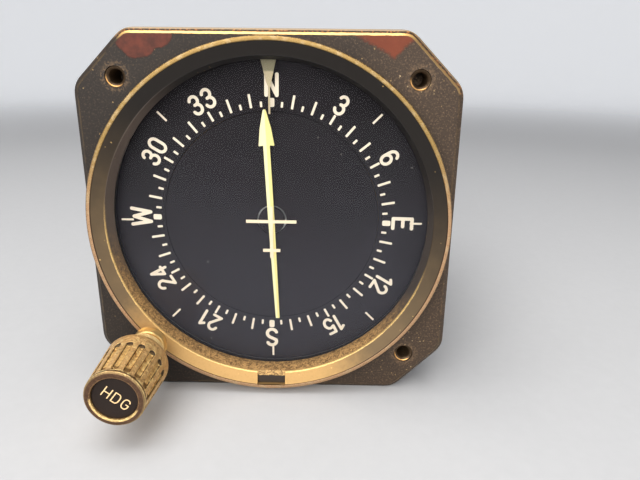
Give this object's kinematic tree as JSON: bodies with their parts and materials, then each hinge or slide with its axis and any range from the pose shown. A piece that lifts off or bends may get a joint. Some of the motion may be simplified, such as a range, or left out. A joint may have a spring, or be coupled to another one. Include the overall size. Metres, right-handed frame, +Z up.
{
  "type": "automatic direction finder indicator",
  "caption": "Round panel instrument with a servo-driven needle over a turning compass card, a heading knob at the lower left and a cut-corner flange.",
  "frame": {"origin": "middle of the footprint at the height of the flange's lower edge", "axes": "the dial faces -Y, +X is to the right seen from the front, +Z is up"},
  "size_m": [0.0814, 0.1188, 0.0823],
  "materials": {
    "casting": "worn satin black paint on an aluminium casting, warm grey with specks and bare edges",
    "bezel": "worn satin bronze",
    "knob": "worn bronze with dark flutes",
    "dial_black": "matt black paint",
    "glass": "clear, polished",
    "gasket": "matt",
    "insert": "tarnished plated steel",
    "aluminium": "milled",
    "brass": "cut brass",
    "motor_case": "plated steel",
    "cover": "black anodised sheet",
    "board": "green laminate",
    "connector": "dark blue moulding",
    "pointer_paint": "pale yellow paint on sheet aluminium",
    "steel": "plated"
  },
  "bodies": {
    "case": {"front_housing": "casting", "bezel_ring": "bezel", "label_plate": "dial_black", "window_glass": "glass", "glass_gasket": "gasket", "glass_retainer": "steel", "mounting_insert_1": "insert", "mounting_insert_2": "insert", "mounting_insert_3": "insert", "cover_screw_1": "steel", "cover_screw_2": "steel", "cover_screw_3": "steel", "cover_screw_4": "steel", "plate_screw_1": "steel", "plate_screw_2": "steel", "plate_screw_3": "steel", "plate_screw_4": "steel", "front_plate": "aluminium", "rear_plate": "aluminium", "pillar_1": "aluminium", "pillar_2": "aluminium", "pillar_3": "aluminium", "bearing_tube": "steel", "front_shaft_bearing": "steel", "rear_shaft_bearing": "steel", "shaft_bushing": "bezel", "servo_motor": "motor_case", "resolver_stator": "motor_case", "resolver_cap": "aluminium", "rear_cover": "cover", "circuit_board": "board", "connector_body": "connector", "connector_screw_1": "steel", "connector_screw_2": "steel"},
    "card": {"compass_card": "dial_black", "card_centre_disc": "dial_black", "card_ring_gear": "brass", "card_bush": "brass"},
    "knob": {"heading_knob": "knob", "knob_face_disc": "dial_black", "knob_shaft": "steel", "shaft_clip": "steel", "knob_set_screw": "steel", "knob_pinion": "brass"},
    "needle": {"pointer": "pointer_paint", "pointer_hub": "dial_black", "pointer_shaft": "steel", "pointer_gear": "brass", "resolver_rotor": "motor_case"},
    "idler": {"idler_arbor": "steel", "idler_pinion": "brass", "idler_gear": "brass"},
    "servo_rotor": {"motor_shaft": "steel", "motor_pinion": "brass"}
  },
  "joints": [
    {"name": "card_turn", "type": "hinge", "parent": "case", "child": "card", "pos_m": [0, -0.02855, 0.04115], "axis": [0, 1, 0], "continuous": true},
    {"name": "knob_turn", "type": "hinge", "parent": "case", "child": "knob", "pos_m": [-0.02828, -0.04335, 0.01287], "axis": [0, 1, 0], "continuous": true},
    {"name": "needle_turn", "type": "hinge", "parent": "case", "child": "needle", "pos_m": [0, -0.0303, 0.04115], "axis": [0, 1, 0], "continuous": true},
    {"name": "idler_turn", "type": "hinge", "parent": "case", "child": "idler", "pos_m": [0.0092, -0.0075, 0.05708], "axis": [0, 1, 0], "continuous": true},
    {"name": "servo_turn", "type": "hinge", "parent": "case", "child": "servo_rotor", "pos_m": [0.02231, -0.0075, 0.04791], "axis": [0, 1, 0], "continuous": true}
  ],
  "couplings": [
    {"joint": "knob_turn", "follows": "card_turn", "ratio": -6},
    {"joint": "idler_turn", "follows": "needle_turn", "ratio": -3.6},
    {"joint": "servo_turn", "follows": "needle_turn", "ratio": 10.8}
  ]
}
